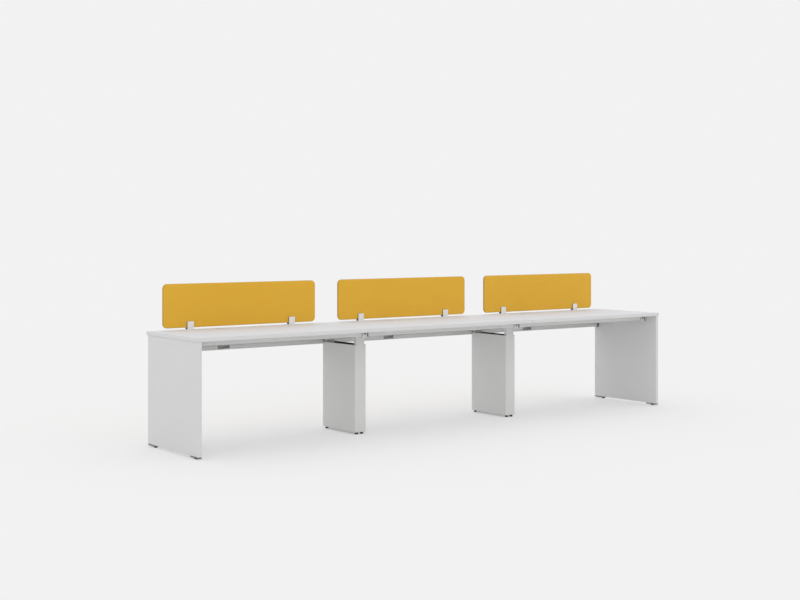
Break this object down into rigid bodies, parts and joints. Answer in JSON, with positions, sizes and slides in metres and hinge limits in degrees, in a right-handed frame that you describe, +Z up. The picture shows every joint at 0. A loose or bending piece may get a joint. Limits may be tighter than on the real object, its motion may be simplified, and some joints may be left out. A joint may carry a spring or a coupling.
{
  "type": "office bench desk",
  "caption": "Single-sided office bench desk run with panel ends, boxed mid legs, rear cable trays, cable grommets and low fabric screens on clamp brackets.",
  "frame": {"origin": "on the floor under the middle of the run, at rest", "axes": "+X along the row of places, to the right of someone seated; +Y from the seats towards the screens; +Z up"},
  "size_m": [4.2, 0.7, 1.058],
  "materials": {
    "white_laminate": "matt white melamine on chipboard",
    "white_paint": "fine-textured white powder coat",
    "screen_fabric": "ochre woven cloth over board",
    "bracket_metal": "satin natural aluminium",
    "light_plastic": "light grey moulded plastic",
    "black_plastic": "black moulded plastic",
    "grey_plastic": "dark grey moulded plastic",
    "black_steel": "blackened steel",
    "zinc_steel": "zinc-plated steel"
  },
  "bodies": {
    "desk": {"desktop_1": "white_laminate", "desktop_2": "white_laminate", "desktop_3": "white_laminate", "left_end_panel": "white_laminate", "right_end_panel": "white_laminate", "front_beam_1": "white_paint", "front_beam_2": "white_paint", "front_beam_3": "white_paint", "rear_beam_1": "white_paint", "rear_beam_2": "white_paint", "rear_beam_3": "white_paint", "beam_connectors": "white_paint", "leg_1_shell": "white_paint", "leg_1_rear_cover": "white_paint", "leg_1_front_post": "white_paint", "leg_1_rear_post": "white_paint", "leg_1_crossbar": "white_paint", "leg_2_shell": "white_paint", "leg_2_rear_cover": "white_paint", "leg_2_front_post": "white_paint", "leg_2_rear_post": "white_paint", "leg_2_crossbar": "white_paint", "cable_tray_1": "white_paint", "cable_tray_2": "white_paint", "cable_tray_3": "white_paint", "tray_hangers": "white_paint", "screen_1": "screen_fabric", "screen_2": "screen_fabric", "screen_3": "screen_fabric", "screen_brackets": "bracket_metal", "grommet_liner_1": "light_plastic", "grommet_liner_2": "light_plastic", "grommet_liner_3": "light_plastic", "joint_gaskets": "black_plastic", "leg_edge_strips": "black_plastic", "tray_end_caps": "black_plastic", "bracket_pads": "black_plastic", "tray_inlets": "grey_plastic", "connector_bolts": "black_steel", "panel_foot_plates": "black_steel", "beam_plates": "zinc_steel", "foot_blocks": "zinc_steel", "grub_screws": "zinc_steel", "bracket_bolts": "zinc_steel", "wood_screws": "zinc_steel"},
    "left_panel_front_foot": {"left_panel_front_foot": "black_plastic"},
    "left_panel_rear_foot": {"left_panel_rear_foot": "black_plastic"},
    "right_panel_front_foot": {"right_panel_front_foot": "black_plastic"},
    "right_panel_rear_foot": {"right_panel_rear_foot": "black_plastic"},
    "leg_1_front_left_foot": {"leg_1_front_left_foot": "black_plastic"},
    "leg_1_front_right_foot": {"leg_1_front_right_foot": "black_plastic"},
    "leg_1_rear_left_foot": {"leg_1_rear_left_foot": "black_plastic"},
    "leg_1_rear_right_foot": {"leg_1_rear_right_foot": "black_plastic"},
    "leg_2_front_left_foot": {"leg_2_front_left_foot": "black_plastic"},
    "leg_2_front_right_foot": {"leg_2_front_right_foot": "black_plastic"},
    "leg_2_rear_left_foot": {"leg_2_rear_left_foot": "black_plastic"},
    "leg_2_rear_right_foot": {"leg_2_rear_right_foot": "black_plastic"},
    "grommet_cap_1": {"grommet_cap_1": "light_plastic"},
    "grommet_cap_2": {"grommet_cap_2": "light_plastic"},
    "grommet_cap_3": {"grommet_cap_3": "light_plastic"}
  },
  "joints": [
    {"name": "left_panel_front_foot_height", "type": "slide", "parent": "desk", "child": "left_panel_front_foot", "axis": [0, 0, -1], "range_m": [0, 0.012]},
    {"name": "left_panel_rear_foot_height", "type": "slide", "parent": "desk", "child": "left_panel_rear_foot", "axis": [0, 0, -1], "range_m": [0, 0.012]},
    {"name": "right_panel_front_foot_height", "type": "slide", "parent": "desk", "child": "right_panel_front_foot", "axis": [0, 0, -1], "range_m": [0, 0.012]},
    {"name": "right_panel_rear_foot_height", "type": "slide", "parent": "desk", "child": "right_panel_rear_foot", "axis": [0, 0, -1], "range_m": [0, 0.012]},
    {"name": "leg_1_front_left_foot_height", "type": "slide", "parent": "desk", "child": "leg_1_front_left_foot", "axis": [0, 0, -1], "range_m": [0, 0.012]},
    {"name": "leg_1_front_right_foot_height", "type": "slide", "parent": "desk", "child": "leg_1_front_right_foot", "axis": [0, 0, -1], "range_m": [0, 0.012]},
    {"name": "leg_1_rear_left_foot_height", "type": "slide", "parent": "desk", "child": "leg_1_rear_left_foot", "axis": [0, 0, -1], "range_m": [0, 0.012]},
    {"name": "leg_1_rear_right_foot_height", "type": "slide", "parent": "desk", "child": "leg_1_rear_right_foot", "axis": [0, 0, -1], "range_m": [0, 0.012]},
    {"name": "leg_2_front_left_foot_height", "type": "slide", "parent": "desk", "child": "leg_2_front_left_foot", "axis": [0, 0, -1], "range_m": [0, 0.012]},
    {"name": "leg_2_front_right_foot_height", "type": "slide", "parent": "desk", "child": "leg_2_front_right_foot", "axis": [0, 0, -1], "range_m": [0, 0.012]},
    {"name": "leg_2_rear_left_foot_height", "type": "slide", "parent": "desk", "child": "leg_2_rear_left_foot", "axis": [0, 0, -1], "range_m": [0, 0.012]},
    {"name": "leg_2_rear_right_foot_height", "type": "slide", "parent": "desk", "child": "leg_2_rear_right_foot", "axis": [0, 0, -1], "range_m": [0, 0.012]},
    {"name": "grommet_cap_1_turn", "type": "hinge", "parent": "desk", "child": "grommet_cap_1", "pos_m": [-1.58, 0.27, 0.75], "axis": [0, 0, 1], "continuous": true},
    {"name": "grommet_cap_2_turn", "type": "hinge", "parent": "desk", "child": "grommet_cap_2", "pos_m": [-0.18, 0.27, 0.75], "axis": [0, 0, 1], "continuous": true},
    {"name": "grommet_cap_3_turn", "type": "hinge", "parent": "desk", "child": "grommet_cap_3", "pos_m": [1.22, 0.27, 0.75], "axis": [0, 0, 1], "continuous": true}
  ]
}
